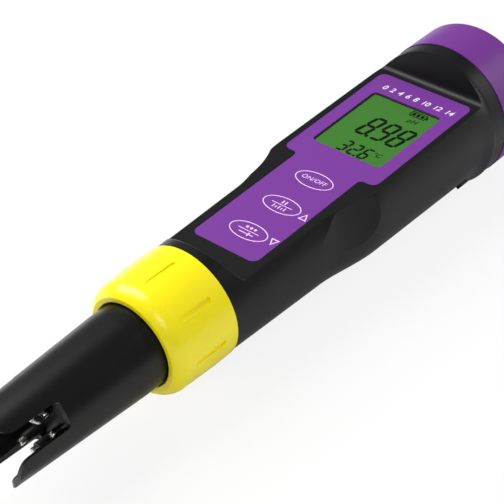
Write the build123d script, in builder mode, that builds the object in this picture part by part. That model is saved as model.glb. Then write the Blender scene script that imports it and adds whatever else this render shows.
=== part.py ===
# Hand-held water quality tester: a round grip that widens into a head with a flat face,
# a display and three keys on that face, a screwed battery cap, and a probe that a
# screwed collar holds in the neck.
# X runs across the face, Y from the probe's tip to the battery cap, Z out of the face.
# The tester lies on its back, and the origin is below the middle of its length.

import os
from math import cos, radians, sin, sqrt, tan

from build123d import *

os.makedirs("parts", exist_ok=True)

# Lengths along the axis. Every place along it is counted from the collar's seam
# with the housing, towards the battery cap.
probe_reach = 65.0
body_length = 105.1
cap_length = 15.2

# Clearances
fit_gap = 0.05          # round pieces that turn or slide in one another, on the radius
seat_gap = 0.1          # pieces of one body that are put together
moving_gap = 0.3        # pieces that only pass each other
face_gap = 0.1          # end faces that close against each other

# Round outside of the housing
cap_radius = 20.2
ring_radius = cap_radius - 0.2      # black ring beside the battery cap
ring_width = 4.3
ring_flare = 7.0
neck_radius = 15.55
grip_radius = 16.35
grip_length = 33.0
flare_length = 21.0     # from the grip to the head
head_radius = ring_radius - 0.75
head_growth = 0.4       # the head widens a little towards the ring
head_lift = 1.4         # the head's round sections sit this far towards the face
station_step = 3.5      # between the sections of the body
wall = 2.0

# Flat face and the two walls that close it
face_height = 8.77      # above the axis, at the collar's seam
face_slope = 1.4        # degrees, rising towards the cap
neck_rim = 2.75
neck_wall_lean = 28.0
head_wall_lean = 14.0
wall_foot_radius = 2.0
face_wall = 2.4
rim_edge_radius = 0.5

# Thumb scoop on each side, cut square to a line this far round from the face
scoop_angle = 75.0
scoop_radius = 16.1     # nearest to the axis
scoop_draft = 0.6       # further out at its neck end
scoop_low = 38.0
scoop_start = 22.0
scoop_end = 51.6
scoop_end_radius = 19.5

# Small nub on each side of the back, near the ring
nub_angle = 129.0
nub_place = 92.5
nub_length = 4.0
nub_width = 2.0
nub_height = 0.8

# Label on the face: a T with the display in its wide part
label_start = 12.65
label_shoulder = 53.6
label_end = 96.35
label_narrow = 21.1
label_wide = 30.7
label_corner = 2.2
label_inner_corner = 1.2
label_thickness = 0.4
label_recess = 0.5
display_width = 22.6
display_length = 27.2
display_centre = 74.1
display_corner = 1.5

# Keys, three ovals with one spacing
key_width = 10.9
key_length = 5.3
key_first = 21.3
key_spacing = 12.75
key_offset = 1.0        # to the right of the middle of the face
key_travel = 0.3
key_proud = 0.05        # above the label
key_gap = 0.15
key_flange = 0.8        # wider than the pad on every side
key_flange_thickness = 0.9
key_stem_radius = 1.5

# Display stack, depths below the face
glass_width = 25.0
glass_length = 29.6
glass_depth = 0.6
glass_thickness = 2.2
frame_width = 28.6
frame_length = 33.0
strip_width = 2.0

# Circuit board
board_depth = 6.6
board_thickness = 1.2
board_start = 7.6
board_shoulder = 56.0
board_end = 96.0
board_narrow = 21.0
board_wide = 27.2
board_screw_radius = 0.9
board_screw_x = 8.3
board_screw_first = 14.0
board_screw_last = 93.2
screw_head_height = 1.2
screw_head_radius = 1.7
screw_tip_gap = 1.0
processor_size = 10.0
chip_size = 5.0
part_height = 1.4
crystal_length = 8.0
crystal_width = 3.0
switch_size = 4.5
switch_height = 1.6
plunger_height = 0.5
plunger_radius = 1.2

# Cradle under the board
cradle_wall = 1.5
cradle_gap = 0.2
cradle_end = 95.4
boss_radius = 2.0
boss_length = 8.0

# Neck and spigots
neck_spigot_radius = neck_radius - 2.25
neck_spigot_length = 11.5
neck_bore_radius = neck_spigot_radius - 2.5
partition_front = -1.0
partition_back = 4.0
socket_nose = -1.9
socket_nose_radius = 5.9
socket_flange_radius = neck_bore_radius - 0.3
socket_flange = 2.0
socket_board_radius = socket_flange_radius - 1.0
socket_board_thickness = 1.1
socket_seal_place = 1.5
socket_seal_section = 0.45
cap_spigot_radius = cap_radius - 2.0
cap_spigot_length = 8.5
cap_bore_radius = cap_spigot_radius - 1.8
bore_start = 96.5
full_bore_start = 102.2     # the bore is flat under the face before this

# Battery tray and cells
cell_radius = 5.8
cell_thickness = 5.4
cell_count = 4
cell_place = 108.5
tray_start = 98.0
tray_end = 115.0
trough_gap = 0.1
plate_thickness = 0.4
plate_height = 8.0
tail_width = 2.0
tail_end = 95.2
tray_screw_x = 6.0
tray_screw_z = 4.8 - cap_bore_radius
tray_screw_radius = 1.0
tray_boss_radius = 2.2

# Battery cap
cap_roof = 2.3
cap_edge_radius = 2.6
cap_inner_radius = cap_bore_radius + 0.5
cap_seal_thickness = 1.0

# Collar
collar_radius = neck_radius + 0.3
collar_nose_radius = neck_radius
collar_shoulder = 15.6      # the round front edge starts here, then passes the brow
collar_brow = 18.35
collar_brow_radius = collar_nose_radius - 0.55
collar_front_radius = collar_nose_radius - 2.35
collar_length = 20.2
collar_lip_radius = 0.4
flute_count = 8
flute_first = 4.3           # degrees round from the face
flute_start = 4.6
flute_end = 14.6
flute_width = 1.4
flute_depth = 0.14

# Probe sleeve and guard
flange_radius = neck_spigot_radius - 0.15
flange_thickness = 3.0
sleeve_radius = 11.4
collar_opening = sleeve_radius + 0.35
sleeve_straight = 25.0
sleeve_tip_radius = 9.75
sleeve_bore_radius = 8.4
plug_back = -2.5
slot_count = 3
slot_first = 60.0       # degrees round from the face
slot_width = 7.0
slot_root = 49.5
slot_corner = 1.0
prong_corner = 3.4
seal_section = 0.5
plug_seal_place = -8.0

# Sensors, places across the axis
carrier_front = 48.3
bulb_radius = 3.6
bulb_centre = 50.4
bulb_z = 2.2
stem_radius = 2.9
stem_back = 24.0
glass_wall = 0.5
wire_radius = 0.4
pin_radius = 0.95
pin_x = 2.3
pin_z = -6.0
pin_tip = 55.6
sheath_radius = 1.4
sheath_tip = 54.0
sheath_back = 46.0
sensor_back = 30.0
junction_radius = 1.5
junction_tip = 49.1
junction_x = -5.4
junction_z = -2.2
thermometer_radius = 1.2
thermometer_x = 5.4
thermometer_z = -2.2
thermometer_tip = 52.0
contact_count = 6
contact_circle = 4.0
contact_radius = 0.5
contact_reach = 3.0
contact_root = 2.0
sleeve_contact_radius = 0.8
contact_tail_radius = 0.4
contact_tail_end = 7.2
link_width = 10.0
link_size = 2.5

seam_y = (probe_reach - body_length - cap_length) / 2
axis_height = cap_radius
side_plane = Plane(origin=(0, seam_y, axis_height), x_dir=(0, 1, 0), z_dir=(1, 0, 0))
side_axis = Axis((0, seam_y, axis_height), (0, 1, 0))
face_plane = Plane(
    origin=(0, seam_y, axis_height + face_height),
    x_dir=(1, 0, 0),
    z_dir=(0, -sin(radians(face_slope)), cos(radians(face_slope))),
)
far = 3 * cap_radius    # longer than anything it cuts through
head_start = grip_length + flare_length
ring_start = body_length - ring_width
flare_start = ring_start - ring_flare
spigot_end = body_length + cap_spigot_length
cap_end = body_length + cap_length


def across(place, x=0.0, z=0.0):
    """Plane square to the axis at a place along it. It extrudes towards the cap."""
    return Plane(origin=(x, seam_y + place, axis_height + z), x_dir=(-1, 0, 0), z_dir=(0, 1, 0))


def round_section(place, lift):
    """As across, but a circle on it starts at the back of the tester."""
    return Plane(origin=(0, seam_y + place, axis_height + lift), x_dir=(0, 0, -1), z_dir=(0, 1, 0))


def below_face(depth):
    """Plane along the face, this deep under it. It extrudes out of the face."""
    return face_plane.offset(-depth)


def face_z(place):
    """Height of the face above the axis."""
    return face_height + place * tan(radians(face_slope))


def eased(share):
    """Smooth step from 0 to 1."""
    share = min(max(share, 0), 1)
    return share * share * (3 - 2 * share)


def body_section(place, inset=0.0):
    """Radius and lift of the housing's round section."""
    widening = eased((place - grip_length) / flare_length)
    closing = eased((place - flare_start) / ring_flare)
    grip = neck_radius + (grip_radius - neck_radius) * min(place / grip_length, 1)
    head = head_radius + head_growth * max(place - head_start, 0) / (ring_start - head_start)
    radius = grip + (head - grip) * widening
    radius += (ring_radius - radius) * closing
    return radius - inset, head_lift * widening * (1 - closing)


def stations(first, last):
    """Evenly spaced places of the sections that a loft of the body runs through."""
    steps = round((last - first) / station_step)
    return [first + (last - first) * step / steps for step in range(steps + 1)]


def key_place(number):
    """Middle of a key on the face."""
    return key_offset, key_first + number * key_spacing


# Label outline: a T, wide around the display and narrow along the keys
with BuildSketch() as label_outline:
    with Locations((0, (label_start + label_end) / 2)):
        RectangleRounded(label_narrow, label_end - label_start, label_corner)
    with Locations((0, (label_shoulder + label_end) / 2)):
        RectangleRounded(label_wide, label_end - label_shoulder, label_corner)
    shoulder = vertices().filter_by_position(Axis.Y, label_shoulder - fit_gap, label_shoulder + fit_gap)
    fillet(shoulder.sort_by(lambda corner: abs(corner.X))[:2], label_inner_corner)

# Board outline: narrow under the keys, wide under the display
with BuildSketch() as board_outline:
    with Locations((0, (board_start + board_end) / 2)):
        Rectangle(board_narrow, board_end - board_start)
    with Locations((0, (board_shoulder + board_end) / 2)):
        Rectangle(board_wide, board_end - board_shoulder)

# Prism that takes the round body down to the flat face between its two walls
neck_wall_foot = neck_rim + (neck_radius - face_height) * tan(radians(neck_wall_lean))
head_wall_foot = ring_start - (ring_radius - face_z(ring_start)) * tan(radians(head_wall_lean))
with BuildPart() as face_cut:
    with BuildSketch(side_plane):
        with BuildLine():
            Polyline(
                (neck_rim - (far - neck_radius) * tan(radians(neck_wall_lean)), far),
                (neck_wall_foot, face_z(neck_wall_foot)),
                (head_wall_foot, face_z(head_wall_foot)),
                (ring_start + (far - ring_radius) * tan(radians(head_wall_lean)), far),
                close=True,
            )
        make_face()
        fillet(vertices().sort_by(Axis.Y)[:2], wall_foot_radius)
    extrude(amount=far, both=True)

# Thumb scoops, one on each side, and the same shape one wall further in
def scoop_pair(depth):
    """Prisms that cut both scoops, moved this far in towards the axis."""
    with BuildPart() as pair:
        for side in (1, -1):
            turn = Plane(
                origin=side_plane.origin,
                x_dir=(0, 1, 0),
                z_dir=(side * cos(radians(scoop_angle)), 0, -sin(radians(scoop_angle))),
            )
            reach = side if turn.y_dir.X > 0 else -side
            low = scoop_radius - depth
            with BuildSketch(turn):
                with BuildLine():
                    near = Line((scoop_start, reach * (low + scoop_draft)), (scoop_low, reach * low))
                    rise = TangentArc(
                        near @ 1, (scoop_end, reach * (scoop_end_radius - depth)), tangent=(1, 0)
                    )
                    Polyline(rise @ 1, (scoop_end, reach * far), (scoop_start, reach * far), near @ 0)
                make_face()
            extrude(amount=far / 3, both=True)
    return pair.part


# Space inside the housing, lower than the face wall
with BuildPart() as hollow:
    for place in stations(partition_back, bore_start):
        radius, lift = body_section(place, wall)
        with BuildSketch(round_section(place, lift)):
            Circle(radius)
    loft()
    split(bisect_by=below_face(face_wall), keep=Keep.BOTTOM)
    add(scoop_pair(wall), mode=Mode.SUBTRACT)

# Bore at the cap end, flat under the face until it is clear of the head wall
with BuildPart() as bore:
    with BuildSketch(across(bore_start - wall)):
        Circle(cap_bore_radius)
    extrude(amount=full_bore_start - bore_start + wall)
    split(bisect_by=below_face(face_wall), keep=Keep.BOTTOM)
    with BuildSketch(across(full_bore_start)):
        Circle(cap_bore_radius)
    extrude(amount=spigot_end - full_bore_start)

# Housing
with BuildPart() as housing:
    for place in stations(0, ring_start):
        radius, lift = body_section(place)
        with BuildSketch(round_section(place, lift)):
            Circle(radius)
    loft()
    with BuildSketch(across(ring_start)):
        Circle(ring_radius)
    extrude(amount=ring_width)
    add(face_cut.part, mode=Mode.SUBTRACT)
    add(scoop_pair(0), mode=Mode.SUBTRACT)
    neck_edges = edges().filter_by_position(Axis.Y, seam_y + fit_gap, seam_y + neck_wall_foot)
    fillet(neck_edges.sort_by(Axis.Z)[-1], rim_edge_radius)
    nub_section = body_section(nub_place)
    for side in (1, -1):
        outward = Vector(side * sin(radians(nub_angle)), 0, cos(radians(nub_angle)))
        surface = nub_section[0] + nub_section[1] * cos(radians(nub_angle))
        root = Vector(0, seam_y + nub_place, axis_height) + outward * (surface - nub_height)
        with BuildSketch(Plane(origin=root, x_dir=(0, 1, 0), z_dir=outward)):
            SlotOverall(nub_length, nub_width)
        extrude(amount=2 * nub_height)
    # Label recess, display opening and key openings
    with BuildSketch(below_face(label_recess)):
        add(label_outline.sketch)
    extrude(amount=far, mode=Mode.SUBTRACT)
    with BuildSketch(below_face(face_wall + wall)):
        with Locations((0, display_centre)):
            Rectangle(glass_width + 2 * seat_gap, glass_length + 2 * seat_gap)
        for number in range(3):
            with Locations(key_place(number)):
                Ellipse(key_width / 2 + key_gap, key_length / 2 + key_gap)
    extrude(amount=face_wall + 2 * wall, mode=Mode.SUBTRACT)
    add(hollow.part, mode=Mode.SUBTRACT)
    # Bore for the battery tray, and the spigot that the cap screws on
    with BuildSketch(across(body_length)):
        Circle(cap_spigot_radius)
    extrude(amount=cap_spigot_length)
    add(bore.part, mode=Mode.SUBTRACT)
    # Bosses that the tray is screwed to
    with BuildSketch(across(cradle_end + moving_gap)):
        for side in (1, -1):
            with Locations((side * tray_screw_x, tray_screw_z)):
                Circle(tray_boss_radius)
            with Locations((side * tray_screw_x, tray_screw_z - tray_boss_radius)):
                Rectangle(2 * tray_boss_radius, 2 * tray_boss_radius)
    extrude(amount=tray_start - cradle_end - moving_gap)
    with BuildSketch(across(cradle_end)):
        with Locations((tray_screw_x, tray_screw_z), (-tray_screw_x, tray_screw_z)):
            Circle(tray_screw_radius + seat_gap)
    extrude(amount=tray_start - cradle_end, mode=Mode.SUBTRACT)
    # Neck spigot with the probe's bore and the partition that carries the socket
    with BuildSketch(across(-neck_spigot_length)):
        Circle(neck_spigot_radius)
    extrude(amount=neck_spigot_length)
    with BuildSketch(across(-neck_spigot_length)):
        Circle(neck_bore_radius)
    extrude(amount=neck_spigot_length + partition_front, mode=Mode.SUBTRACT)
    with BuildSketch(across(-neck_spigot_length)):
        Circle(socket_nose_radius + seat_gap)
    extrude(amount=neck_spigot_length + partition_back, mode=Mode.SUBTRACT)
housing.part.label = "housing"
export_step(housing.part, "parts/housing.step")

# Face label with its openings
with BuildPart() as face_label:
    with BuildSketch(below_face(label_recess)):
        offset(label_outline.sketch, amount=-seat_gap)
        with Locations((0, display_centre)):
            RectangleRounded(display_width, display_length, display_corner, mode=Mode.SUBTRACT)
        for number in range(3):
            with Locations(key_place(number)):
                Ellipse(key_width / 2 + key_gap, key_length / 2 + key_gap, mode=Mode.SUBTRACT)
    extrude(amount=label_thickness)
face_label.part.label = "face_label"
export_step(face_label.part, "parts/face_label.step")

# Clear window in the label's opening
with BuildPart() as display_window:
    with BuildSketch(below_face(label_recess)):
        with Locations((0, display_centre)):
            RectangleRounded(display_width - 2 * fit_gap, display_length - 2 * fit_gap, display_corner - fit_gap)
    extrude(amount=label_thickness)
display_window.part.label = "display_window"
export_step(display_window.part, "parts/display_window.step")

# Display glass, its light box, the two contact strips and the frame around them
with BuildPart() as display_glass:
    with BuildSketch(below_face(glass_depth + glass_thickness)):
        with Locations((0, display_centre)):
            Rectangle(glass_width, glass_length)
    extrude(amount=glass_thickness)
display_glass.part.label = "display_glass"
export_step(display_glass.part, "parts/display_glass.step")

strip_height = board_depth - glass_depth - glass_thickness
strip_place = (glass_length - strip_width) / 2
with BuildPart() as contact_strips:
    with BuildSketch(below_face(board_depth)):
        with Locations((0, display_centre - strip_place), (0, display_centre + strip_place)):
            Rectangle(glass_width - 2 * seat_gap, strip_width)
    extrude(amount=strip_height)
contact_strips.part.label = "contact_strips"
export_step(contact_strips.part, "parts/contact_strips.step")

with BuildPart() as light_box:
    with BuildSketch(below_face(board_depth)):
        with Locations((0, display_centre)):
            Rectangle(glass_width - 2 * seat_gap, glass_length - 2 * strip_width - 2 * seat_gap)
    extrude(amount=strip_height)
light_box.part.label = "light_box"
export_step(light_box.part, "parts/light_box.step")

with BuildPart() as display_frame:
    with BuildSketch(below_face(board_depth)):
        with Locations((0, display_centre)):
            RectangleRounded(frame_width, frame_length, display_corner)
            Rectangle(glass_width + 2 * seat_gap, glass_length + 2 * seat_gap, mode=Mode.SUBTRACT)
    extrude(amount=board_depth - face_wall - fit_gap)
display_frame.part.label = "display_frame"
export_step(display_frame.part, "parts/display_frame.step")

# Main board, with its screws, switches and parts
board_screw_places = [
    (side * board_screw_x, place) for side in (1, -1) for place in (board_screw_first, board_screw_last)
]
with BuildPart() as main_board:
    with BuildSketch(below_face(board_depth + board_thickness)):
        add(board_outline.sketch)
        with Locations(*board_screw_places):
            Circle(board_screw_radius + seat_gap, mode=Mode.SUBTRACT)
    extrude(amount=board_thickness)
main_board.part.label = "main_board"
export_step(main_board.part, "parts/main_board.step")

with BuildPart() as board_screws:
    with BuildSketch(below_face(board_depth)):
        with Locations(*board_screw_places):
            Circle(screw_head_radius)
    extrude(amount=screw_head_height)
    with BuildSketch(below_face(board_depth)):
        with Locations(*board_screw_places):
            Circle(board_screw_radius)
    extrude(amount=-(board_thickness + boss_length - screw_tip_gap))
board_screws.part.label = "board_screws"
export_step(board_screws.part, "parts/board_screws.step")

with BuildPart() as tact_switches:
    with BuildSketch(below_face(board_depth)):
        for number in range(3):
            with Locations(key_place(number)):
                RectangleRounded(switch_size, switch_size, switch_size / 10)
    extrude(amount=switch_height)
    with BuildSketch(below_face(board_depth - switch_height)):
        for number in range(3):
            with Locations(key_place(number)):
                Circle(plunger_radius)
    extrude(amount=plunger_height)
tact_switches.part.label = "tact_switches"
export_step(tact_switches.part, "parts/tact_switches.step")

with BuildPart() as board_parts:
    with BuildSketch(below_face(board_depth + board_thickness)):
        with Locations((0, board_shoulder + processor_size)):
            Rectangle(processor_size, processor_size)
        with Locations((0, board_shoulder + 2 * processor_size)):
            SlotOverall(crystal_length, crystal_width)
        with Locations((0, board_shoulder - processor_size)):
            Rectangle(chip_size, chip_size)
    extrude(amount=-part_height)
board_parts.part.label = "board_parts"
export_step(board_parts.part, "parts/board_parts.step")

# Cradle: half a tube under the board, with bosses for the screws
cradle_radius = neck_radius - wall - cradle_gap
with BuildPart() as board_cradle:
    with BuildSketch(across(board_start)):
        Circle(cradle_radius)
        Circle(cradle_radius - cradle_wall, mode=Mode.SUBTRACT)
    extrude(amount=cradle_end - board_start)
    split(bisect_by=below_face(board_depth + board_thickness), keep=Keep.BOTTOM)
    with BuildSketch(below_face(board_depth + board_thickness)):
        with Locations(*board_screw_places):
            Circle(boss_radius)
    extrude(amount=-boss_length)
    with BuildSketch(below_face(board_depth + board_thickness)):
        with Locations(*board_screw_places):
            Circle(board_screw_radius + fit_gap)
    extrude(amount=screw_tip_gap - boss_length, mode=Mode.SUBTRACT)
board_cradle.part.label = "board_cradle"
export_step(board_cradle.part, "parts/board_cradle.step")

# Keys: an oval pad in the label, a flange behind the face wall and a stem over the switch
def one_key(number):
    """Solid of one key."""
    with BuildPart() as key:
        with BuildSketch(below_face(face_wall + seat_gap)):
            with Locations(key_place(number)):
                Ellipse(key_width / 2, key_length / 2)
        extrude(amount=face_wall + seat_gap - label_recess + label_thickness + key_proud)
        with BuildSketch(below_face(face_wall + seat_gap)):
            with Locations(key_place(number)):
                Ellipse(key_width / 2 + key_flange, key_length / 2 + key_flange)
        extrude(amount=-key_flange_thickness)
        with BuildSketch(below_face(face_wall + seat_gap)):
            with Locations(key_place(number)):
                Circle(key_stem_radius)
        extrude(amount=-(board_depth - switch_height - plunger_height - key_travel - fit_gap
                         - face_wall - seat_gap))
    return key.part


with BuildPart() as first_key:
    add(one_key(2))
first_key.part.label = "on_off_key"
export_step(first_key.part, "parts/on_off_key.step")

with BuildPart() as middle_key:
    add(one_key(1))
middle_key.part.label = "hold_key"
export_step(middle_key.part, "parts/hold_key.step")

with BuildPart() as last_key:
    add(one_key(0))
last_key.part.label = "mode_key"
export_step(last_key.part, "parts/mode_key.step")


def ring(place, radius, section):
    """Seal of round section about the main axis."""
    with BuildPart() as seal:
        with BuildSketch(side_plane):
            with Locations((place, radius)):
                Circle(section)
        revolve(axis=side_axis)
    return seal.part


# Groove for a seal, square in section and open at the outside
def groove(place, radius, section):
    """Solid that cuts the groove in which a seal sits flush."""
    with BuildPart() as cutter:
        with BuildSketch(side_plane):
            with Locations((place, radius)):
                Rectangle(2 * section + seat_gap, 2 * section + seat_gap)
        revolve(axis=side_axis)
    return cutter.part


# Probe socket: nose through the partition, flange behind it, flat under the face wall
with BuildPart() as probe_socket:
    with BuildSketch(across(socket_nose)):
        Circle(socket_nose_radius)
    extrude(amount=partition_back + fit_gap - socket_nose)
    with BuildSketch(across(partition_back + fit_gap)):
        Circle(socket_flange_radius)
    extrude(amount=socket_flange)
    split(bisect_by=below_face(face_wall + seat_gap), keep=Keep.BOTTOM)
    add(groove(socket_seal_place, socket_nose_radius - socket_seal_section, socket_seal_section),
        mode=Mode.SUBTRACT)
    with BuildSketch(across(socket_nose)):
        with PolarLocations(contact_circle, contact_count):
            Circle(sleeve_contact_radius + fit_gap)
    extrude(amount=partition_back - socket_nose, mode=Mode.SUBTRACT)
    with BuildSketch(across(socket_nose)):
        with PolarLocations(contact_circle, contact_count):
            Circle(contact_tail_radius + fit_gap)
    extrude(amount=far, mode=Mode.SUBTRACT)
probe_socket.part.label = "probe_socket"
export_step(probe_socket.part, "parts/probe_socket.step")

with BuildPart() as socket_seal:
    add(ring(socket_seal_place, socket_nose_radius - socket_seal_section, socket_seal_section))
socket_seal.part.label = "socket_seal"
export_step(socket_seal.part, "parts/socket_seal.step")

# Spring sleeves that take the probe's pins, with tails through the socket's board
with BuildPart() as socket_contacts:
    with BuildSketch(across(socket_nose)):
        with PolarLocations(contact_circle, contact_count):
            Circle(sleeve_contact_radius)
    extrude(amount=partition_back - fit_gap - socket_nose)
    with BuildSketch(across(socket_nose)):
        with PolarLocations(contact_circle, contact_count):
            Circle(contact_radius + fit_gap)
    extrude(amount=partition_back - wall / 2 - socket_nose, mode=Mode.SUBTRACT)
    with BuildSketch(across(partition_back - wall / 2)):
        with PolarLocations(contact_circle, contact_count):
            Circle(contact_tail_radius)
    extrude(amount=contact_tail_end - partition_back + wall / 2)
socket_contacts.part.label = "socket_contacts"
export_step(socket_contacts.part, "parts/socket_contacts.step")

socket_board_start = partition_back + socket_flange + 2 * fit_gap
with BuildPart() as socket_board:
    with BuildSketch(across(socket_board_start)):
        Circle(socket_board_radius)
        with PolarLocations(contact_circle, contact_count):
            Circle(contact_tail_radius + fit_gap, mode=Mode.SUBTRACT)
    extrude(amount=socket_board_thickness)
    split(bisect_by=below_face(face_wall + seat_gap), keep=Keep.BOTTOM)
socket_board.part.label = "socket_board"
export_step(socket_board.part, "parts/socket_board.step")

# Header between the socket's board and the main board
link_start = socket_board_start + socket_board_thickness + fit_gap
with BuildPart() as board_link:
    with BuildSketch(below_face(board_depth - fit_gap)):
        with Locations((0, link_start + link_size / 2)):
            Rectangle(link_width, link_size)
    extrude(amount=link_size)
board_link.part.label = "board_link"
export_step(board_link.part, "parts/board_link.step")

# Battery tray: a plug in the bore with a trough for the cells, open towards the cap
stack_half = cell_count * cell_thickness / 2 + (cell_count - 1) * fit_gap / 2
plate_inner = stack_half + seat_gap
trough_half = plate_inner + plate_thickness + seat_gap
tail_top = face_z(tail_end) - board_depth - board_thickness - 2 * seat_gap
with BuildPart() as battery_tray:
    with BuildSketch(across(tray_start)):
        Circle(cap_bore_radius - seat_gap)
    extrude(amount=full_bore_start + seat_gap - tray_start)
    split(bisect_by=below_face(face_wall + seat_gap), keep=Keep.BOTTOM)
    with BuildSketch(across(full_bore_start + seat_gap)):
        Circle(cap_bore_radius - seat_gap)
    extrude(amount=tray_end - full_bore_start - seat_gap)
    with BuildSketch(side_plane):
        with Locations((cell_place, 0)):
            Circle(cell_radius + trough_gap)
        with Locations((cell_place + far / 2, 0)):
            Rectangle(far, 2 * (cell_radius + trough_gap))
    extrude(amount=trough_half, both=True, mode=Mode.SUBTRACT)
    # Slots for the plates' tails and wells for the two screws
    with BuildSketch(across(tray_start)):
        with Locations((plate_inner + plate_thickness / 2, tail_top - tail_width / 2),
                       (-plate_inner - plate_thickness / 2, tail_top - tail_width / 2)):
            Rectangle(plate_thickness + 2 * seat_gap, tail_width + 2 * seat_gap)
    extrude(amount=cell_place - tray_start, mode=Mode.SUBTRACT)
    with BuildSketch(across(tray_start)):
        with Locations((tray_screw_x, tray_screw_z), (-tray_screw_x, tray_screw_z)):
            Circle(tray_screw_radius + seat_gap)
    extrude(amount=tray_end - tray_start, mode=Mode.SUBTRACT)
    with BuildSketch(across(tray_start + wall)):
        with Locations((tray_screw_x, tray_screw_z), (-tray_screw_x, tray_screw_z)):
            Circle(screw_head_radius + 2 * seat_gap)
    extrude(amount=tray_end - tray_start - wall, mode=Mode.SUBTRACT)
battery_tray.part.label = "battery_tray"
export_step(battery_tray.part, "parts/battery_tray.step")

with BuildPart() as tray_screws:
    for side in (1, -1):
        with BuildSketch(across(tray_start + wall + fit_gap)):
            with Locations((side * tray_screw_x, tray_screw_z)):
                Circle(screw_head_radius)
        extrude(amount=screw_head_height)
        with BuildSketch(across(tray_start + wall + fit_gap)):
            with Locations((side * tray_screw_x, tray_screw_z)):
                Circle(tray_screw_radius)
        extrude(amount=cradle_end + moving_gap - tray_start - wall)
tray_screws.part.label = "tray_screws"
export_step(tray_screws.part, "parts/tray_screws.step")

# Button cells, stacked across the tester
cell_edge = cell_thickness / 12
with BuildPart() as button_cells:
    for number in range(cell_count):
        start = -stack_half + number * (cell_thickness + fit_gap)
        with BuildSketch(side_plane.offset(start)):
            with Locations((cell_place, 0)):
                Circle(cell_radius)
        extrude(amount=cell_thickness - cell_edge)
        with BuildSketch(side_plane.offset(start + cell_thickness - cell_edge)):
            with Locations((cell_place, 0)):
                Circle(cell_radius - 2 * cell_edge)
        extrude(amount=cell_edge)
button_cells.part.label = "button_cells"
export_step(button_cells.part, "parts/button_cells.step")

# Contact plates beside the stack, with tails that reach the main board
with BuildPart() as contact_plates:
    for start in (plate_inner, -plate_inner - plate_thickness):
        with BuildSketch(side_plane.offset(start)):
            with Locations((cell_place, 0)):
                RectangleRounded(plate_height, plate_height, plate_height / 8)
            with Locations(((tail_end + cell_place) / 2, tail_top - tail_width / 2)):
                Rectangle(cell_place - tail_end, tail_width)
        extrude(amount=plate_thickness)
contact_plates.part.label = "contact_plates"
export_step(contact_plates.part, "parts/contact_plates.step")

# Cap seal and battery cap
with BuildPart() as cap_seal:
    with BuildSketch(across(spigot_end + fit_gap)):
        Circle(cap_spigot_radius - seat_gap)
        Circle(cap_bore_radius + seat_gap, mode=Mode.SUBTRACT)
    extrude(amount=cap_seal_thickness)
cap_seal.part.label = "cap_seal"
export_step(cap_seal.part, "parts/cap_seal.step")

with BuildPart() as battery_cap:
    with BuildSketch(side_plane):
        with BuildLine():
            Polyline(
                (body_length + face_gap, cap_spigot_radius + fit_gap),
                (body_length + face_gap, cap_radius),
                (cap_end, cap_radius),
                (cap_end, 0),
                (cap_end - cap_roof, 0),
                (cap_end - cap_roof, cap_inner_radius),
                (spigot_end + cap_seal_thickness + 2 * fit_gap, cap_inner_radius),
                (spigot_end + cap_seal_thickness + 2 * fit_gap, cap_spigot_radius + fit_gap),
                close=True,
            )
        make_face()
        fillet(vertices().sort_by(Axis.Y)[-2:].sort_by(Axis.X)[-1], cap_edge_radius)
    revolve(axis=side_axis)
battery_cap.part.label = "battery_cap"
export_step(battery_cap.part, "parts/battery_cap.step")

# Probe sleeve: plug, flange, straight stretch and a taper to the guard
plug_radius = neck_bore_radius - fit_gap
flange_start = neck_spigot_length + face_gap
with BuildPart() as probe_sleeve:
    with BuildSketch(side_plane):
        with BuildLine():
            Polyline(
                (plug_back, sleeve_bore_radius),
                (plug_back, plug_radius),
                (-flange_start, plug_radius),
                (-flange_start, flange_radius),
                (-flange_start - flange_thickness, flange_radius),
                (-flange_start - flange_thickness, sleeve_radius),
                (-sleeve_straight, sleeve_radius),
                (-probe_reach, sleeve_tip_radius),
                (-probe_reach, sleeve_bore_radius),
                close=True,
            )
        make_face()
    revolve(axis=side_axis)
    add(groove(plug_seal_place, plug_radius - seal_section, seal_section), mode=Mode.SUBTRACT)
    for number in range(slot_count):
        angle = radians(slot_first + number * 360 / slot_count)
        outward = Vector(sin(angle), 0, cos(angle))
        slot_plane = Plane(origin=side_plane.origin, x_dir=(0, -1, 0), z_dir=outward)
        with BuildSketch(slot_plane):
            with Locations(((slot_root + probe_reach) / 2, 0)):
                Rectangle(probe_reach - slot_root, slot_width)
            fillet(vertices().sort_by(Axis.X)[:2], slot_corner)
            with Locations((probe_reach + slot_corner, 0)):
                Rectangle(2 * slot_corner, slot_width + 2 * prong_corner + wall)
            fillet(vertices().filter_by_position(Axis.Y, -slot_width / 2 - fit_gap, slot_width / 2 + fit_gap)
                   .sort_by(Axis.X)[-2:], prong_corner)
        extrude(amount=far, mode=Mode.SUBTRACT)
probe_sleeve.part.label = "probe_sleeve"
export_step(probe_sleeve.part, "parts/probe_sleeve.step")

with BuildPart() as plug_seal:
    add(ring(plug_seal_place, plug_radius - seal_section, seal_section))
plug_seal.part.label = "plug_seal"
export_step(plug_seal.part, "parts/plug_seal.step")

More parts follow.
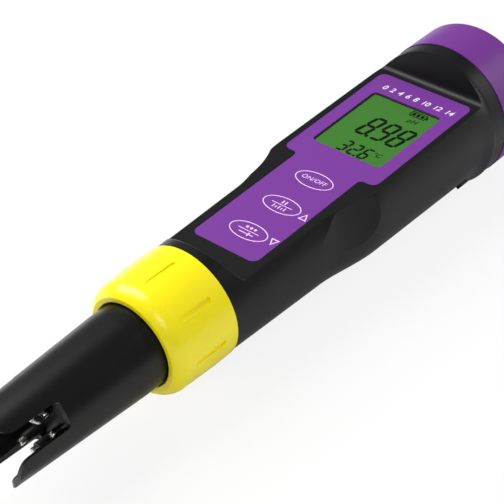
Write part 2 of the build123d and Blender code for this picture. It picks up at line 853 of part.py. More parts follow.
# Carrier: a potted plug in the sleeve that holds every sensor
bulb_axis = Axis((0, seam_y, axis_height + bulb_z), (0, 1, 0))
bulb_plane = Plane(origin=(0, seam_y, axis_height + bulb_z), x_dir=(0, 1, 0), z_dir=(1, 0, 0))
with BuildPart() as sensor_carrier:
    with BuildSketch(across(-carrier_front)):
        Circle(sleeve_bore_radius - fit_gap)
    extrude(amount=carrier_front + plug_back)
    with BuildSketch(across(-carrier_front, z=bulb_z)):
        Circle(stem_radius + fit_gap)
    extrude(amount=carrier_front - stem_back, mode=Mode.SUBTRACT)
    with BuildSketch(across(-carrier_front, z=bulb_z)):
        Circle(wire_radius + fit_gap)
    extrude(amount=carrier_front - stem_back + contact_root, mode=Mode.SUBTRACT)
    with BuildSketch(across(-carrier_front)):
        with Locations((pin_x, pin_z), (-pin_x, pin_z)):
            Circle(pin_radius + fit_gap)
        with Locations((-junction_x, junction_z)):
            Circle(junction_radius + fit_gap)
        with Locations((-thermometer_x, thermometer_z)):
            Circle(thermometer_radius + fit_gap)
    extrude(amount=carrier_front - sensor_back, mode=Mode.SUBTRACT)
    with BuildSketch(across(-carrier_front)):
        with Locations((pin_x, pin_z), (-pin_x, pin_z)):
            Circle(sheath_radius + fit_gap)
    extrude(amount=carrier_front - sheath_back, mode=Mode.SUBTRACT)
    with BuildSketch(across(plug_back)):
        with PolarLocations(contact_circle, contact_count):
            Circle(contact_radius + fit_gap)
    extrude(amount=-contact_root, mode=Mode.SUBTRACT)
sensor_carrier.part.label = "sensor_carrier"
export_step(sensor_carrier.part, "parts/sensor_carrier.step")

# Glass bulb on its stem, hollow, with the electrode's wire inside
with BuildPart() as ph_bulb:
    with BuildSketch(bulb_plane):
        with Locations((-bulb_centre, 0)):
            Circle(bulb_radius)
        with Locations((-(bulb_centre + stem_back) / 2, 0)):
            Rectangle(bulb_centre - stem_back, 2 * stem_radius)
        with Locations((-bulb_centre, 0)):
            Circle(bulb_radius - glass_wall, mode=Mode.SUBTRACT)
        with Locations((-(bulb_centre + stem_back) / 2, 0)):
            Rectangle(bulb_centre - stem_back, 2 * (stem_radius - glass_wall), mode=Mode.SUBTRACT)
        with Locations((-bulb_centre, -far / 2)):
            Rectangle(2 * far, far, mode=Mode.SUBTRACT)
    revolve(axis=bulb_axis)
ph_bulb.part.label = "ph_bulb"
export_step(ph_bulb.part, "parts/ph_bulb.step")

with BuildPart() as ph_wire:
    with BuildSketch(across(-bulb_centre, z=bulb_z)):
        Circle(wire_radius)
    extrude(amount=bulb_centre - stem_back + contact_root - fit_gap)
    with Locations((0, seam_y - bulb_centre, axis_height + bulb_z)):
        Sphere(2 * wire_radius)
ph_wire.part.label = "ph_wire"
export_step(ph_wire.part, "parts/ph_wire.step")

with BuildPart() as reference_junction:
    with BuildSketch(across(-junction_tip, x=junction_x, z=junction_z)):
        Circle(junction_radius)
    extrude(amount=junction_tip - sensor_back)
    fillet(edges().sort_by(Axis.Y)[0], junction_radius / 3)
reference_junction.part.label = "reference_junction"
export_step(reference_junction.part, "parts/reference_junction.step")

with BuildPart() as temperature_probe:
    with BuildSketch(across(-thermometer_tip, x=thermometer_x, z=thermometer_z)):
        Circle(thermometer_radius)
    extrude(amount=thermometer_tip - sensor_back)
    fillet(edges().sort_by(Axis.Y)[0], thermometer_radius / 2)
temperature_probe.part.label = "temperature_probe"
export_step(temperature_probe.part, "parts/temperature_probe.step")

with BuildPart() as conductivity_pins:
    with BuildSketch(across(-pin_tip)):
        with Locations((pin_x, pin_z), (-pin_x, pin_z)):
            Circle(pin_radius)
    extrude(amount=pin_tip - sensor_back)
    chamfer(edges().group_by(Axis.Y)[0], pin_radius / 4)
conductivity_pins.part.label = "conductivity_pins"
export_step(conductivity_pins.part, "parts/conductivity_pins.step")

with BuildPart() as pin_sheaths:
    with BuildSketch(across(-sheath_tip)):
        with Locations((pin_x, pin_z), (-pin_x, pin_z)):
            Circle(sheath_radius)
            Circle(pin_radius + fit_gap, mode=Mode.SUBTRACT)
    extrude(amount=sheath_tip - sheath_back)
pin_sheaths.part.label = "pin_sheaths"
export_step(pin_sheaths.part, "parts/pin_sheaths.step")

with BuildPart() as probe_pins:
    with BuildSketch(across(plug_back - contact_root)):
        with PolarLocations(contact_circle, contact_count):
            Circle(contact_radius)
    extrude(amount=contact_root + contact_reach)
    fillet(edges().group_by(Axis.Y)[-1], contact_radius / 2)
probe_pins.part.label = "probe_pins"
export_step(probe_pins.part, "parts/probe_pins.step")

# Collar: turns on the neck spigot and holds the sleeve by its flange
collar_bore_radius = neck_spigot_radius + fit_gap
collar_floor = flange_start + flange_thickness + face_gap
with BuildPart() as collar_nut:
    with BuildSketch(side_plane):
        with BuildLine():
            Polyline(
                (-collar_shoulder, collar_nose_radius),
                (-collar_length / 3, collar_radius),
                (-face_gap, collar_radius),
                (-face_gap, collar_bore_radius),
                (-collar_floor, collar_bore_radius),
                (-collar_floor, collar_opening),
                (-collar_length, collar_opening),
                (-collar_length, collar_front_radius),
            )
            ThreePointArc((-collar_length, collar_front_radius), (-collar_brow, collar_brow_radius),
                          (-collar_shoulder, collar_nose_radius))
        make_face()
        fillet(vertices().sort_by(Axis.X)[:2].sort_by(Axis.Y)[0], collar_lip_radius)
    revolve(axis=side_axis)
    # Shallow grip grooves, each a narrow cut along the collar
    groove_bottom = collar_nose_radius - flute_depth
    for number in range(flute_count):
        angle = radians(flute_first + number * 360 / flute_count)
        outward = Vector(sin(angle), 0, cos(angle))
        middle = Vector(0, seam_y - (flute_start + flute_end) / 2, axis_height)
        with BuildSketch(Plane(origin=middle + outward * groove_bottom, x_dir=(0, 1, 0), z_dir=outward)):
            SlotOverall(flute_end - flute_start, flute_width)
        extrude(amount=far, mode=Mode.SUBTRACT)
collar_nut.part.label = "collar_nut"
export_step(collar_nut.part, "parts/collar_nut.step")
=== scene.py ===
# Looks of the water quality tester: finishes, printing, display segments, light and camera.
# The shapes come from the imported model. Lengths are metres unless a name says otherwise.
import math

import bpy
from mathutils import Matrix, Vector


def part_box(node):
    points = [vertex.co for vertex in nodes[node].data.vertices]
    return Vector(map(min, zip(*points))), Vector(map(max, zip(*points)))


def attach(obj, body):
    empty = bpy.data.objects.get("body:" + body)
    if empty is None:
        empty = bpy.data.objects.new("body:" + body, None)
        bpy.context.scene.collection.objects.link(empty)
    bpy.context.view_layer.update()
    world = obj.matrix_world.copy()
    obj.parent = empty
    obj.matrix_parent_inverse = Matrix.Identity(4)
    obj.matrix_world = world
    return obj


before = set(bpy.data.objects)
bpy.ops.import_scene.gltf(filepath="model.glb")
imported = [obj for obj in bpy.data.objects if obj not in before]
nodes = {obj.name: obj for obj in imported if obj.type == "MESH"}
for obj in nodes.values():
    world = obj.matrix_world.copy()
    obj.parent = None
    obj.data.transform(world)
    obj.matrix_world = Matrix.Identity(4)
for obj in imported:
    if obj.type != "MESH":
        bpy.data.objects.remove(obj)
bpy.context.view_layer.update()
mm = 0.001
print("frame loaded:", len(nodes), "nodes")

# Camera at the photograph's angle
cameraSettings = {
    "place": (0.22902, -0.24256, 0.28086),
    "right": (0.7501, 0.6590, -0.0570),
    "up": (-0.3748, 0.4954, 0.7836),
    "lensMillimetres": 119.455,
    "sensorMillimetres": 36.0,
    "shift": (-0.0014, 0.002),
    "nearest": 0.01,
    "farthest": 20.0,
}


def addCamera(settings):
    data = bpy.data.cameras.new("photoCamera")
    data.sensor_fit = "HORIZONTAL"
    data.sensor_width = settings["sensorMillimetres"]
    data.lens = settings["lensMillimetres"]
    data.shift_x, data.shift_y = settings["shift"]
    data.clip_start = settings["nearest"]
    data.clip_end = settings["farthest"]
    right = Vector(settings["right"]).normalized()
    back = right.cross(Vector(settings["up"])).normalized()
    up = back.cross(right)
    turn = Matrix((right, up, back)).transposed().to_4x4()
    camera = bpy.data.objects.new("photoCamera", data)
    camera.matrix_world = Matrix.Translation(settings["place"]) @ turn
    bpy.context.collection.objects.link(camera)
    bpy.context.scene.camera = camera


addCamera(cameraSettings)
print("camera placed")


# Material helpers
def srgb(red, green, blue):
    # 0-255 screen colour to the linear colour that the shader takes
    def straight(value):
        value = value / 255
        return value / 12.92 if value <= 0.04045 else ((value + 0.055) / 1.055) ** 2.4
    return (straight(red), straight(green), straight(blue), 1.0)


def newMaterial(name, settings):
    material = bpy.data.materials.new(name)
    material.use_nodes = True
    shader = material.node_tree.nodes["Principled BSDF"]
    shader.inputs["Base Color"].default_value = settings["colour"]
    shader.inputs["Roughness"].default_value = settings["roughness"]
    shader.inputs["Metallic"].default_value = settings.get("metallic", 0.0)
    shader.inputs["IOR"].default_value = settings.get("ior", 1.5)
    shader.inputs["Coat Weight"].default_value = settings.get("coat", 0.0)
    shader.inputs["Coat Roughness"].default_value = settings.get("coatRoughness", 0.1)
    shader.inputs["Alpha"].default_value = settings.get("alpha", 1.0)
    shader.inputs["Transmission Weight"].default_value = settings.get("transmission", 0.0)
    if "grain" in settings:
        addGrain(material, shader, settings)
    return material


# Fine moulded grain: a soft change of roughness and a slight bump
grainSettings = {
    "detail": 3,
    "middle": 0.5,                  # the noise's mean, where the roughness is as written
    "bumpDistance": 0.02 * mm,
    # socket, least, most and default value
    "sockets": (("Scale", 0, 20000, 3000), ("Roughness", 0, 1, 0.4),
                ("Spread", 0, 1, 0.05), ("Depth", 0, 1, 0.1)),
}


def buildGrainGroup(settings):
    group = bpy.data.node_groups.new("mouldedGrain", "ShaderNodeTree")
    face = group.interface
    for name, low, high, value in settings["sockets"]:
        socket = face.new_socket(name, in_out="INPUT", socket_type="NodeSocketFloat")
        socket.default_value, socket.min_value, socket.max_value = value, low, high
    face.new_socket("Roughness", in_out="OUTPUT", socket_type="NodeSocketFloat")
    face.new_socket("Normal", in_out="OUTPUT", socket_type="NodeSocketVector")
    add, link = group.nodes.new, group.links.new
    source, sink = add("NodeGroupInput"), add("NodeGroupOutput")
    place = add("ShaderNodeTexCoord")
    noise = add("ShaderNodeTexNoise")
    noise.inputs["Detail"].default_value = settings["detail"]
    link(place.outputs["Object"], noise.inputs["Vector"])
    link(source.outputs["Scale"], noise.inputs["Scale"])
    centred = add("ShaderNodeMath")
    centred.operation = "SUBTRACT"
    link(noise.outputs["Fac"], centred.inputs[0])
    centred.inputs[1].default_value = settings["middle"]
    spread = add("ShaderNodeMath")
    spread.operation = "MULTIPLY_ADD"
    link(centred.outputs[0], spread.inputs[0])
    link(source.outputs["Spread"], spread.inputs[1])
    link(source.outputs["Roughness"], spread.inputs[2])
    link(spread.outputs[0], sink.inputs["Roughness"])
    bump = add("ShaderNodeBump")
    bump.inputs["Distance"].default_value = settings["bumpDistance"]
    link(source.outputs["Depth"], bump.inputs["Strength"])
    link(noise.outputs["Fac"], bump.inputs["Height"])
    link(bump.outputs["Normal"], sink.inputs["Normal"])
    return group


grainGroup = buildGrainGroup(grainSettings)


def addGrain(material, shader, settings):
    # the finish's own roughness is the middle of the grain's
    node = material.node_tree.nodes.new("ShaderNodeGroup")
    node.node_tree = grainGroup
    node.inputs["Roughness"].default_value = settings["roughness"]
    for name, value in settings["grain"].items():
        node.inputs[name].default_value = value
    links = material.node_tree.links
    links.new(node.outputs["Roughness"], shader.inputs["Roughness"])
    links.new(node.outputs["Normal"], shader.inputs["Normal"])


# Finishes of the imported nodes
finishes = {
    "satinBlack": {"colour": srgb(9, 9, 12), "roughness": 0.38, "ior": 1.33,
                   "grain": {"Scale": 2600, "Spread": 0.06, "Depth": 0.12}},
    "tubeBlack": {"colour": srgb(8, 8, 10), "roughness": 0.32, "ior": 1.35,
                  "grain": {"Scale": 2600, "Spread": 0.05, "Depth": 0.06}},
    "labelPurple": {"colour": srgb(114, 50, 146), "roughness": 0.45, "ior": 1.36,
                    "grain": {"Scale": 3200, "Spread": 0.05, "Depth": 0.05}},
    "capPurple": {"colour": srgb(112, 48, 140), "roughness": 0.4, "ior": 1.4,
                  "grain": {"Scale": 2600, "Spread": 0.05, "Depth": 0.08}},
    "collarYellow": {"colour": srgb(255, 238, 0), "roughness": 0.3, "ior": 1.45,
                     "coat": 0.2, "coatRoughness": 0.15},
    "windowClear": {"colour": srgb(40, 60, 40), "roughness": 0.08, "alpha": 0.02, "ior": 1.3},
    "displayGreen": {"colour": srgb(62, 122, 44), "roughness": 0.35, "ior": 1.3},
    "stripRubber": {"colour": srgb(160, 96, 104), "roughness": 0.7},
    "lightWhite": {"colour": srgb(232, 232, 228), "roughness": 0.6},
    "frameWhite": {"colour": srgb(205, 205, 205), "roughness": 0.6},
    "boardGreen": {"colour": srgb(38, 110, 66), "roughness": 0.4},
    "partBlack": {"colour": srgb(36, 36, 38), "roughness": 0.6},
    "screwSteel": {"colour": srgb(200, 200, 204), "roughness": 0.3, "metallic": 1.0},
    "cradleGrey": {"colour": srgb(92, 92, 96), "roughness": 0.6},
    "socketBlack": {"colour": srgb(40, 40, 42), "roughness": 0.5},
    "contactGold": {"colour": srgb(222, 184, 110), "roughness": 0.25, "metallic": 1.0},
    "sealRubber": {"colour": srgb(34, 34, 35), "roughness": 0.75},
    "trayBlack": {"colour": srgb(48, 48, 50), "roughness": 0.55},
    "cellSteel": {"colour": srgb(214, 214, 214), "roughness": 0.25, "metallic": 1.0},
    "carrierBlack": {"colour": srgb(12, 12, 14), "roughness": 0.4, "ior": 1.36},
    "wireSilver": {"colour": srgb(220, 220, 220), "roughness": 0.25, "metallic": 1.0},
    "junctionWhite": {"colour": srgb(224, 220, 210), "roughness": 0.8},
    "pinSteel": {"colour": srgb(206, 202, 196), "roughness": 0.18, "metallic": 1.0},
    "sheathBlack": {"colour": srgb(20, 20, 21), "roughness": 0.4},
    "bulbGlass": {"colour": (0.97, 0.98, 1.0, 1), "roughness": 0.02, "ior": 1.47, "transmission": 1.0},
}
nodeFinish = {
    "housing": "satinBlack", "probe_sleeve": "tubeBlack", "face_label": "labelPurple",
    "on_off_key": "labelPurple", "hold_key": "labelPurple", "mode_key": "labelPurple",
    "battery_cap": "capPurple", "collar_nut": "collarYellow", "display_window": "windowClear",
    "display_glass": "displayGreen", "contact_strips": "stripRubber", "light_box": "lightWhite",
    "display_frame": "frameWhite", "main_board": "boardGreen", "socket_board": "boardGreen",
    "board_parts": "partBlack", "tact_switches": "partBlack", "board_link": "partBlack",
    "board_screws": "screwSteel", "tray_screws": "screwSteel", "board_cradle": "cradleGrey",
    "probe_socket": "socketBlack", "socket_contacts": "contactGold", "probe_pins": "contactGold",
    "socket_seal": "sealRubber", "plug_seal": "sealRubber", "cap_seal": "sealRubber",
    "battery_tray": "trayBlack", "button_cells": "cellSteel", "contact_plates": "cellSteel",
    "sensor_carrier": "carrierBlack", "ph_wire": "wireSilver", "reference_junction": "junctionWhite",
    "conductivity_pins": "pinSteel", "temperature_probe": "pinSteel", "pin_sheaths": "sheathBlack",
    "ph_bulb": "bulbGlass",
}
materials = {name: newMaterial(name, settings) for name, settings in finishes.items()}
for name, obj in nodes.items():
    for slot in obj.material_slots:
        slot.material = materials[nodeFinish[name]]
print("finishes set:", len(materials))

# The face, worked out from the label
faceSettings = {
    "labelThickness": 0.4 * mm,
    "glassDepth": 0.5 * mm,         # from the label's top down to the display glass
    "keyProud": 0.05 * mm,          # the keys' tops above the label
}
labelLow, labelHigh = (Vector(corner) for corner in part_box("face_label"))
faceRun = labelHigh.y - labelLow.y
faceRise = labelHigh.z - labelLow.z - faceSettings["labelThickness"]
labelLength = Vector((0, faceRun, faceRise)).length
faceAlong = Vector((0, faceRun, faceRise)).normalized()
faceOut = Vector((0, -faceAlong.z, faceAlong.y))
labelStart = Vector((0, labelLow.y, labelLow.z + faceSettings["labelThickness"]))


def onFace(x, along, height=0.0):
    # x across the face, along from the label's neck end, height above the label
    return labelStart + Vector((x, 0, 0)) + faceAlong * along + faceOut * height


def alongOf(y):
    return (y - labelStart.y) / faceAlong.y


def faceMatrix(x, along, height):
    axes = Matrix((Vector((1, 0, 0)), faceAlong, faceOut)).transposed().to_4x4()
    return Matrix.Translation(onFace(x, along, height)) @ axes


def flatPiece(name, outlines, matrix, material, thickness, body):
    # thin printed shape: closed outlines in the face's plane, with a little thickness
    curve = bpy.data.curves.new(name, "CURVE")
    curve.dimensions = "2D"
    curve.fill_mode = "BOTH"
    curve.extrude = thickness / 2
    for points in outlines:
        spline = curve.splines.new("POLY")
        spline.points.add(len(points) - 1)
        for point, (x, y) in zip(spline.points, points):
            point.co = (x, y, 0, 1)
        spline.use_cyclic_u = True
    piece = bpy.data.objects.new(name, curve)
    bpy.context.collection.objects.link(piece)
    settle(piece, matrix, material, body)


def textPiece(name, settings, matrix, material, thickness, body):
    curve = bpy.data.curves.new(name, "FONT")
    curve.body = settings["words"]
    curve.size = settings["size"]
    curve.align_x = "CENTER"
    curve.align_y = "CENTER"
    curve.space_character = settings.get("spacing", 1.0)
    curve.shear = settings.get("shear", 0.0)
    curve.offset = settings.get("heavy", 0.0)
    curve.extrude = thickness / 2
    piece = bpy.data.objects.new(name, curve)
    bpy.context.collection.objects.link(piece)
    settle(piece, matrix, material, body)


def settle(piece, matrix, material, body):
    # turns a curve or text into a mesh, in place, and lets it ride with its body
    bpy.context.view_layer.update()
    mesh = bpy.data.meshes.new_from_object(piece.evaluated_get(bpy.context.evaluated_depsgraph_get()))
    mesh.transform(matrix)
    name = piece.name
    bpy.data.objects.remove(piece)
    solid = bpy.data.objects.new(name, mesh)
    bpy.context.collection.objects.link(solid)
    mesh.materials.clear()
    mesh.materials.append(material)
    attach(solid, body)


def ovalPoints(halfX, halfY, count):
    return [(halfX * math.cos(2 * math.pi * step / count), halfY * math.sin(2 * math.pi * step / count))
            for step in range(count)]


def rectPoints(x, y, width, height):
    return [(x - width / 2, y - height / 2), (x + width / 2, y - height / 2),
            (x + width / 2, y + height / 2), (x - width / 2, y + height / 2)]


# Printing on the label and keys
printing = {
    "ink": {"colour": srgb(240, 196, 250), "roughness": 0.5},
    "headerInk": {"colour": srgb(232, 214, 240), "roughness": 0.5},
    "thickness": 0.04 * mm,
}
ink = newMaterial("whiteInk", printing["ink"])
headerInk = newMaterial("headerInk", printing["headerInk"])
lift = printing["thickness"] / 2

# A ring around each key
keyRing = {"padHalfX": 5.45 * mm, "padHalfY": 2.65 * mm, "out": 0.28 * mm, "width": 0.3 * mm, "points": 72}
keyPlaces = {}
for keyName in ("on_off_key", "hold_key", "mode_key"):
    low, high = (Vector(corner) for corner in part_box(keyName))
    middle = (low + high) / 2
    flangeTilt = faceAlong.z * (high.z - low.z) / 2     # the box's middle sits below the face's own line
    keyPlaces[keyName] = (middle.x, alongOf(middle.y - flangeTilt))
    outer = keyRing["out"] + keyRing["width"] / 2
    inner = keyRing["out"] - keyRing["width"] / 2
    flatPiece(
        keyName + "Ring",
        [ovalPoints(keyRing["padHalfX"] + edge, keyRing["padHalfY"] + edge, keyRing["points"])
         for edge in (outer, inner)],
        faceMatrix(*keyPlaces[keyName], lift), ink, printing["thickness"], "housing")
print("key rings printed")

onOffWords = {"words": "ON/OFF", "size": 2.1 * mm, "spacing": 1.05}
keyTop = faceSettings["keyProud"] + lift
textPiece("onOffWords", onOffWords, faceMatrix(*keyPlaces["on_off_key"], keyTop), ink,
          printing["thickness"], "on_off_key")

# Signs on the two other keys stand in two rows with a line between them
signs = {"rowRise": 1.15 * mm, "lineLength": 6.6 * mm, "lineWidth": 0.22 * mm}
holdSigns = {
    "barPitch": 1.0 * mm, "barWidth": 0.4 * mm, "barTall": 1.3 * mm,
    "markCount": 5, "markPitch": 0.9 * mm, "markWidth": 0.3 * mm,
    "shortShare": 0.7, "shortDrop": 0.15 * mm,      # every second mark is shorter
}
modeSigns = {
    "dotPitch": 1.3 * mm, "dotRadius": 0.42 * mm, "dotPoints": 24,
    "knobPlace": 0.8 * mm, "knobWidth": 0.5 * mm, "knobTall": 1.2 * mm,
    "runs": ((-0.95 * mm, 2.6 * mm), (1.75 * mm, 1.1 * mm)), "runWidth": 0.28 * mm,     # middle and length
}


def keySigns(keyName, upper, lower):
    outlines = [rectPoints(0, 0, signs["lineLength"], signs["lineWidth"])] + upper + lower
    flatPiece(keyName + "Signs", outlines, faceMatrix(*keyPlaces[keyName], keyTop), ink,
              printing["thickness"], keyName)


def holdRows(settings, row):
    bars = [rectPoints(side * settings["barPitch"] / 2, row, settings["barWidth"], settings["barTall"])
            for side in (-1, 1)]
    marks = []
    for step in range(settings["markCount"]):
        x = (step - (settings["markCount"] - 1) / 2) * settings["markPitch"]
        drop, share = (settings["shortDrop"], settings["shortShare"]) if step % 2 else (0, 1.0)
        marks.append(rectPoints(x, -row - drop, settings["markWidth"], settings["barTall"] * share))
    return bars, marks


def modeRows(settings, row):
    dot = ovalPoints(settings["dotRadius"], settings["dotRadius"], settings["dotPoints"])
    dots = [[(x + settings["dotPitch"] * step, y + row) for x, y in dot] for step in (-1, 0, 1)]
    slider = [rectPoints(settings["knobPlace"], -row, settings["knobWidth"], settings["knobTall"])]
    slider += [rectPoints(x, -row, length, settings["runWidth"]) for x, length in settings["runs"]]
    return dots, slider


keySigns("hold_key", *holdRows(holdSigns, signs["rowRise"]))
keySigns("mode_key", *modeRows(modeSigns, signs["rowRise"]))
print("keys printed")

# A triangle that points up beside the middle key, and one that points down beside the last
triangle = {
    "half": 1.3 * mm, "tall": 2.6 * mm, "line": 0.32 * mm, "x": 8.8 * mm,
    "insetLines": 3.2,              # the hole is smaller by this many line widths
    "upBelowKey": 0.4 * mm, "downAboveKey": 0.1 * mm,
}


def trianglePiece(name, settings, along, pointing):
    half, tall = settings["half"], settings["tall"]
    outer = [(-half, -pointing * tall / 2), (half, -pointing * tall / 2), (0, pointing * tall / 2)]
    inset = 1 - settings["insetLines"] * settings["line"] / tall
    middle = -pointing * tall / 6       # the triangle's own centre, a third of the way up
    inner = [(x * inset, middle + (y - middle) * inset) for x, y in outer]
    flatPiece(name, [outer, inner], faceMatrix(settings["x"], along, lift), ink,
              printing["thickness"], "housing")


trianglePiece("upMark", triangle, keyPlaces["hold_key"][1] - triangle["upBelowKey"], 1)
trianglePiece("downMark", triangle, keyPlaces["mode_key"][1] + triangle["downAboveKey"], -1)

# Plain numbers along the head end of the label
header = {
    "words": "0  2  4  6  8  10  12  14", "size": 2.7 * mm, "heavy": 0.05 * mm, "spacing": 0.94,
    "shear": 0.15, "fromEnd": 5.5 * mm, "x": 0.9 * mm,
}
textPiece("scaleNumbers", header, faceMatrix(header["x"], labelLength - header["fromEnd"], lift), headerInk,
          printing["thickness"], "housing")
print("label printed")

# Display: readings, their units, a battery outline and a painted shade line at the window's seat, standing
# in for the shadow of its recess.
# Places are counted from the middle of the window.
display = {
    "ink": {"colour": srgb(6, 16, 6), "roughness": 0.8, "ior": 1.2},
    "slant": 0.2,
    "gap": 0.08 * mm,
    "thickness": 0.03 * mm,
}
mainReading = {"digits": "898", "dotAfter": 0, "x": -2.35 * mm, "y": 0.5 * mm,
               "wide": 3.9 * mm, "tall": 9.2 * mm, "stroke": 0.95 * mm, "pitch": 4.95 * mm}
lowerReading = {"digits": "326", "dotAfter": 1, "x": -2.6 * mm, "y": -10.2 * mm,
                "wide": 2.6 * mm, "tall": 5.2 * mm, "stroke": 0.65 * mm, "pitch": 3.4 * mm}
readingUnit = {"words": "pH", "size": 2.4 * mm, "shear": 0.2, "x": 5.3 * mm, "y": 8.4 * mm}
heatUnit = {"words": "°C", "size": 2.4 * mm, "shear": 0.2, "x": 6.9 * mm, "y": -9.0 * mm}
battery = {"wide": 5.0 * mm, "tall": 2.3 * mm, "line": 0.28 * mm, "x": 5.0 * mm, "y": 11.6 * mm,
           "tipOut": 0.35 * mm, "tipWide": 0.5 * mm, "tipTall": 1.0 * mm,
           "barCount": 3, "barPitch": 1.35 * mm, "barWide": 0.95 * mm, "barInsetLines": 2}
# painted shade: size and line width of the dark L that stands in for the window recess's shadow
windowShadeLine = {"wide": 22.5 * mm, "tall": 27.1 * mm, "line": 0.35 * mm}
digitSegments = {"0": "abcdef", "1": "bc", "2": "abged", "3": "abgcd", "4": "fgbc", "5": "afgcd",
                 "6": "afgedc", "7": "abc", "8": "abcdefg", "9": "abcdfg"}
segmentInk = newMaterial("segmentInk", display["ink"])
windowLow, windowHigh = (Vector(corner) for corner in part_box("display_window"))
windowMiddle = (windowLow + windowHigh) / 2
windowAlong = alongOf(windowMiddle.y)
inkHeight = display["thickness"] - faceSettings["glassDepth"]


def segmentOutlines(wide, tall, stroke, gap):
    # seven segments with mitred ends, centred on the digit
    half, quarter = wide / 2, tall / 2
    inner = stroke / 2

    def across(y):
        left, right = -half + inner + gap, half - inner - gap
        return [(left, y), (left + inner, y + inner), (right - inner, y + inner),
                (right, y), (right - inner, y - inner), (left + inner, y - inner)]

    def upright(x, low, high):
        low, high = low + gap, high - gap
        return [(x, low), (x + inner, low + inner), (x + inner, high - inner),
                (x, high), (x - inner, high - inner), (x - inner, low + inner)]

    top, bottom = quarter - inner, -quarter + inner
    left, right = -half + inner, half - inner
    return {"a": across(top), "g": across(0), "d": across(bottom),
            "f": upright(left, 0, top), "b": upright(right, 0, top),
            "e": upright(left, bottom, 0), "c": upright(right, bottom, 0)}


def displayPiece(name, outlines, x=0.0, y=0.0):
    flatPiece(name, outlines, faceMatrix(windowMiddle.x + x, windowAlong + y, inkHeight), segmentInk,
              display["thickness"], "housing")


def displayRow(name, settings):
    outlines = []
    slant, y, tall, stroke = display["slant"], settings["y"], settings["tall"], settings["stroke"]
    shapes = segmentOutlines(settings["wide"], tall, stroke, display["gap"])
    for number, digit in enumerate(settings["digits"]):
        x = settings["x"] + number * settings["pitch"]
        outlines += [[(x + px + slant * py, y + py) for px, py in shapes[segment]]
                     for segment in digitSegments[digit]]
    dotX = settings["x"] + (settings["dotAfter"] + 0.5) * settings["pitch"] - slant * tall / 2
    outlines.append(rectPoints(dotX, y - tall / 2 + stroke / 2, stroke, stroke))
    displayPiece(name, outlines)


def batteryMark(settings):
    wide, tall, line = settings["wide"], settings["tall"], settings["line"]
    outlines = [rectPoints(0, 0, wide, tall), rectPoints(0, 0, wide - 2 * line, tall - 2 * line),
                rectPoints(wide / 2 + settings["tipOut"], 0, settings["tipWide"], settings["tipTall"])]
    barTall = tall - 2 * settings["barInsetLines"] * line
    for step in range(settings["barCount"]):
        x = (step - (settings["barCount"] - 1) / 2) * settings["barPitch"]
        outlines.append(rectPoints(x, 0, settings["barWide"], barTall))
    displayPiece("batteryMark", outlines, settings["x"], settings["y"])


def paintedWindowShade(settings):
    # painted shade: a dark L seen along the window's head and left edges, where the recess's depth casts
    # shadow
    left, right = -settings["wide"] / 2, settings["wide"] / 2
    bottom, top, line = -settings["tall"] / 2, settings["tall"] / 2, settings["line"]
    displayPiece("paintedWindowShade", [[(left, bottom), (left + line, bottom), (left + line, top - line),
                                 (right, top - line), (right, top), (left, top)]])


displayRow("mainReading", mainReading)
displayRow("lowerReading", lowerReading)
for name, unit in (("readingUnit", readingUnit), ("heatUnit", heatUnit)):
    textPiece(name, unit, faceMatrix(windowMiddle.x + unit["x"], windowAlong + unit["y"], inkHeight),
              segmentInk, display["thickness"], "housing")
batteryMark(battery)
paintedWindowShade(windowShadeLine)
print("display drawn")

# Floor, lights and world
floorSettings = {
    "half": 3.0,
    "colour": (0.9, 0.9, 0.9, 1),
    "roughness": 0.9,
    "whiteShare": 0.86,             # share of plain white that the camera sees in the floor
}
lamps = {
    "key": {"place": (-0.55, -0.1, 0.75), "size": (0.5, 0.9), "power": 10.0},
    "fill": {"place": (0.5, -0.6, 0.7), "size": (0.4, 0.4), "power": 2.0},
    "rim": {"place": (0.4, 0.75, 0.3), "size": (0.2, 0.8), "power": 2.0},
}
lampTarget = (0, 0, 0.02)
worldSettings = {"colour": (1, 1, 1, 1), "level": 0.3, "shownLevel": 1.0}


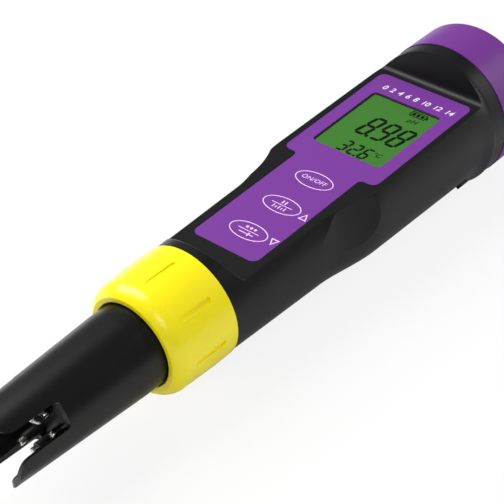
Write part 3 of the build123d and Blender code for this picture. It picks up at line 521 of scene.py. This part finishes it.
def addFloor(settings):
    half = settings["half"]
    corners = [(-half, -half, 0), (half, -half, 0), (half, half, 0), (-half, half, 0)]
    mesh = bpy.data.meshes.new("floor")
    mesh.from_pydata(corners, [], [(0, 1, 2, 3)])
    floor = bpy.data.objects.new("floor", mesh)
    bpy.context.collection.objects.link(floor)
    material = bpy.data.materials.new("paleFloor")
    material.use_nodes = True
    tree = material.node_tree
    shader = tree.nodes["Principled BSDF"]
    shader.inputs["Base Color"].default_value = settings["colour"]
    shader.inputs["Roughness"].default_value = settings["roughness"]
    add, link = tree.nodes.new, tree.links.new
    path, share = add("ShaderNodeLightPath"), add("ShaderNodeMath")
    white, mix = add("ShaderNodeEmission"), add("ShaderNodeMixShader")
    share.operation = "MULTIPLY"
    share.inputs[1].default_value = settings["whiteShare"]
    link(path.outputs["Is Camera Ray"], share.inputs[0])
    link(share.outputs[0], mix.inputs["Fac"])
    link(shader.outputs[0], mix.inputs[1])
    link(white.outputs[0], mix.inputs[2])
    link(mix.outputs[0], tree.nodes["Material Output"].inputs["Surface"])
    mesh.materials.append(material)


def addLamp(name, settings, target):
    data = bpy.data.lights.new(name, "AREA")
    data.shape = "RECTANGLE"
    data.size, data.size_y = settings["size"]
    data.energy = settings["power"]
    light = bpy.data.objects.new(name, data)
    light.location = settings["place"]
    aim = Vector(target) - Vector(settings["place"])
    light.rotation_euler = aim.to_track_quat("-Z", "Y").to_euler()
    bpy.context.collection.objects.link(light)


def setWorld(settings):
    # the object is lit at one level, and the camera sees plain white
    world = bpy.data.worlds.new("paleRoom")
    world.use_nodes = True
    bpy.context.scene.world = world
    tree = world.node_tree
    tree.nodes.clear()
    add, link = tree.nodes.new, tree.links.new
    out, mix, path = add("ShaderNodeOutputWorld"), add("ShaderNodeMixShader"), add("ShaderNodeLightPath")
    lighting, shown = add("ShaderNodeBackground"), add("ShaderNodeBackground")
    for background, level in ((lighting, settings["level"]), (shown, settings["shownLevel"])):
        background.inputs["Color"].default_value = settings["colour"]
        background.inputs["Strength"].default_value = level
    link(path.outputs["Is Camera Ray"], mix.inputs["Fac"])
    link(lighting.outputs[0], mix.inputs[1])
    link(shown.outputs[0], mix.inputs[2])
    link(mix.outputs[0], out.inputs["Surface"])


addFloor(floorSettings)
for name, settings in lamps.items():
    addLamp(name, settings, lampTarget)
setWorld(worldSettings)
bpy.context.scene.view_settings.view_transform = "Standard"
print("floor, lamps and world set")

print("scene done")
